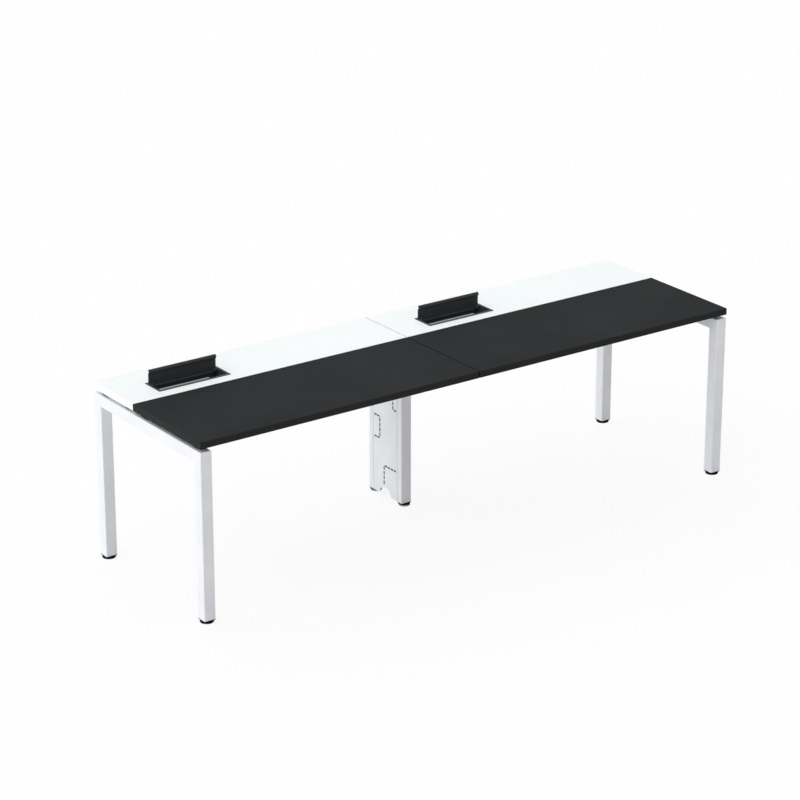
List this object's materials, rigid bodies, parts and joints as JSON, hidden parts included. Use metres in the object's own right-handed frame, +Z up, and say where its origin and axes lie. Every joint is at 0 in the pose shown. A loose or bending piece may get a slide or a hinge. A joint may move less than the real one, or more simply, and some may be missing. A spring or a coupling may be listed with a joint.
{
  "type": "benching desk",
  "caption": "Two-seat benching desk: split dark and white tops on a mitred square-tube frame, flip-up cable ports, a cable riser leg under the seam and levelling feet.",
  "frame": {"origin": "on the floor, under the middle of the worktop", "axes": "+X along the desk to the right-hand seat, +Y to the back of the desk, +Z up"},
  "size_m": [2.605, 0.795, 0.809],
  "materials": {
    "white_powder_coat": "satin powder coat on steel",
    "dark_laminate": "matt dark grey laminate on particle board",
    "white_laminate": "smooth white laminate on particle board",
    "dark_edge_band": "matt",
    "white_edge_band": "matt",
    "black_anodised": "black anodised, fine satin",
    "grey_rubber": "matt",
    "black_plastic": "moulded, fine matt",
    "steel": "zinc plated"
  },
  "bodies": {
    "desk": {"cross_beam": "white_powder_coat", "cross_beam_caps": "black_plastic", "left_cable_tray": "white_powder_coat", "left_end_beam": "white_powder_coat", "left_front_board": "dark_laminate", "left_front_edge_band": "dark_edge_band", "left_front_leg": "white_powder_coat", "left_front_leg_cap": "black_plastic", "left_front_rail": "white_powder_coat", "left_front_rail_spigots": "white_powder_coat", "left_port_frame": "black_anodised", "left_port_wiper": "grey_rubber", "left_rear_board": "white_laminate", "left_rear_edge_band": "white_edge_band", "left_rear_leg": "white_powder_coat", "left_rear_leg_cap": "black_plastic", "left_rear_rail": "white_powder_coat", "left_rear_rail_spigots": "white_powder_coat", "right_cable_tray": "white_powder_coat", "right_end_beam": "white_powder_coat", "right_front_board": "dark_laminate", "right_front_edge_band": "dark_edge_band", "right_front_leg": "white_powder_coat", "right_front_leg_cap": "black_plastic", "right_front_rail": "white_powder_coat", "right_front_rail_spigots": "white_powder_coat", "right_port_frame": "black_anodised", "right_port_wiper": "grey_rubber", "right_rear_board": "white_laminate", "right_rear_edge_band": "white_edge_band", "right_rear_leg": "white_powder_coat", "right_rear_leg_cap": "black_plastic", "right_rear_rail": "white_powder_coat", "right_rear_rail_spigots": "white_powder_coat", "riser_front_post": "white_powder_coat", "riser_front_post_cap": "black_plastic", "riser_left_cover": "white_powder_coat", "riser_rear_post": "white_powder_coat", "riser_rear_post_cap": "black_plastic", "riser_right_cover": "white_powder_coat", "riser_top_plate": "white_powder_coat", "tie_plates": "steel", "top_spacers": "black_plastic"},
    "left_lid": {"left_port_lid": "black_anodised", "left_lid_pins": "steel"},
    "right_lid": {"right_port_lid": "black_anodised", "right_lid_pins": "steel"},
    "left_front_leg_foot": {"left_front_leg_foot": "black_plastic"},
    "left_rear_leg_foot": {"left_rear_leg_foot": "black_plastic"},
    "right_front_leg_foot": {"right_front_leg_foot": "black_plastic"},
    "right_rear_leg_foot": {"right_rear_leg_foot": "black_plastic"},
    "riser_front_post_foot": {"riser_front_post_foot": "black_plastic"},
    "riser_rear_post_foot": {"riser_rear_post_foot": "black_plastic"}
  },
  "joints": [
    {"name": "left_lid_hinge", "type": "hinge", "parent": "desk", "child": "left_lid", "pos_m": [-0.983, 0.2405, 0.744], "axis": [1, 0, 0], "range_deg": [0, 90]},
    {"name": "right_lid_hinge", "type": "hinge", "parent": "desk", "child": "right_lid", "pos_m": [0.31875, 0.2405, 0.744], "axis": [1, 0, 0], "range_deg": [0, 90]},
    {"name": "left_front_leg_foot_height", "type": "slide", "parent": "desk", "child": "left_front_leg_foot", "axis": [0, 0, -1], "range_m": [0, 0.02]},
    {"name": "left_rear_leg_foot_height", "type": "slide", "parent": "desk", "child": "left_rear_leg_foot", "axis": [0, 0, -1], "range_m": [0, 0.02]},
    {"name": "right_front_leg_foot_height", "type": "slide", "parent": "desk", "child": "right_front_leg_foot", "axis": [0, 0, -1], "range_m": [0, 0.02]},
    {"name": "right_rear_leg_foot_height", "type": "slide", "parent": "desk", "child": "right_rear_leg_foot", "axis": [0, 0, -1], "range_m": [0, 0.02]},
    {"name": "riser_front_post_foot_height", "type": "slide", "parent": "desk", "child": "riser_front_post_foot", "axis": [0, 0, -1], "range_m": [0, 0.02]},
    {"name": "riser_rear_post_foot_height", "type": "slide", "parent": "desk", "child": "riser_rear_post_foot", "axis": [0, 0, -1], "range_m": [0, 0.02]}
  ]
}
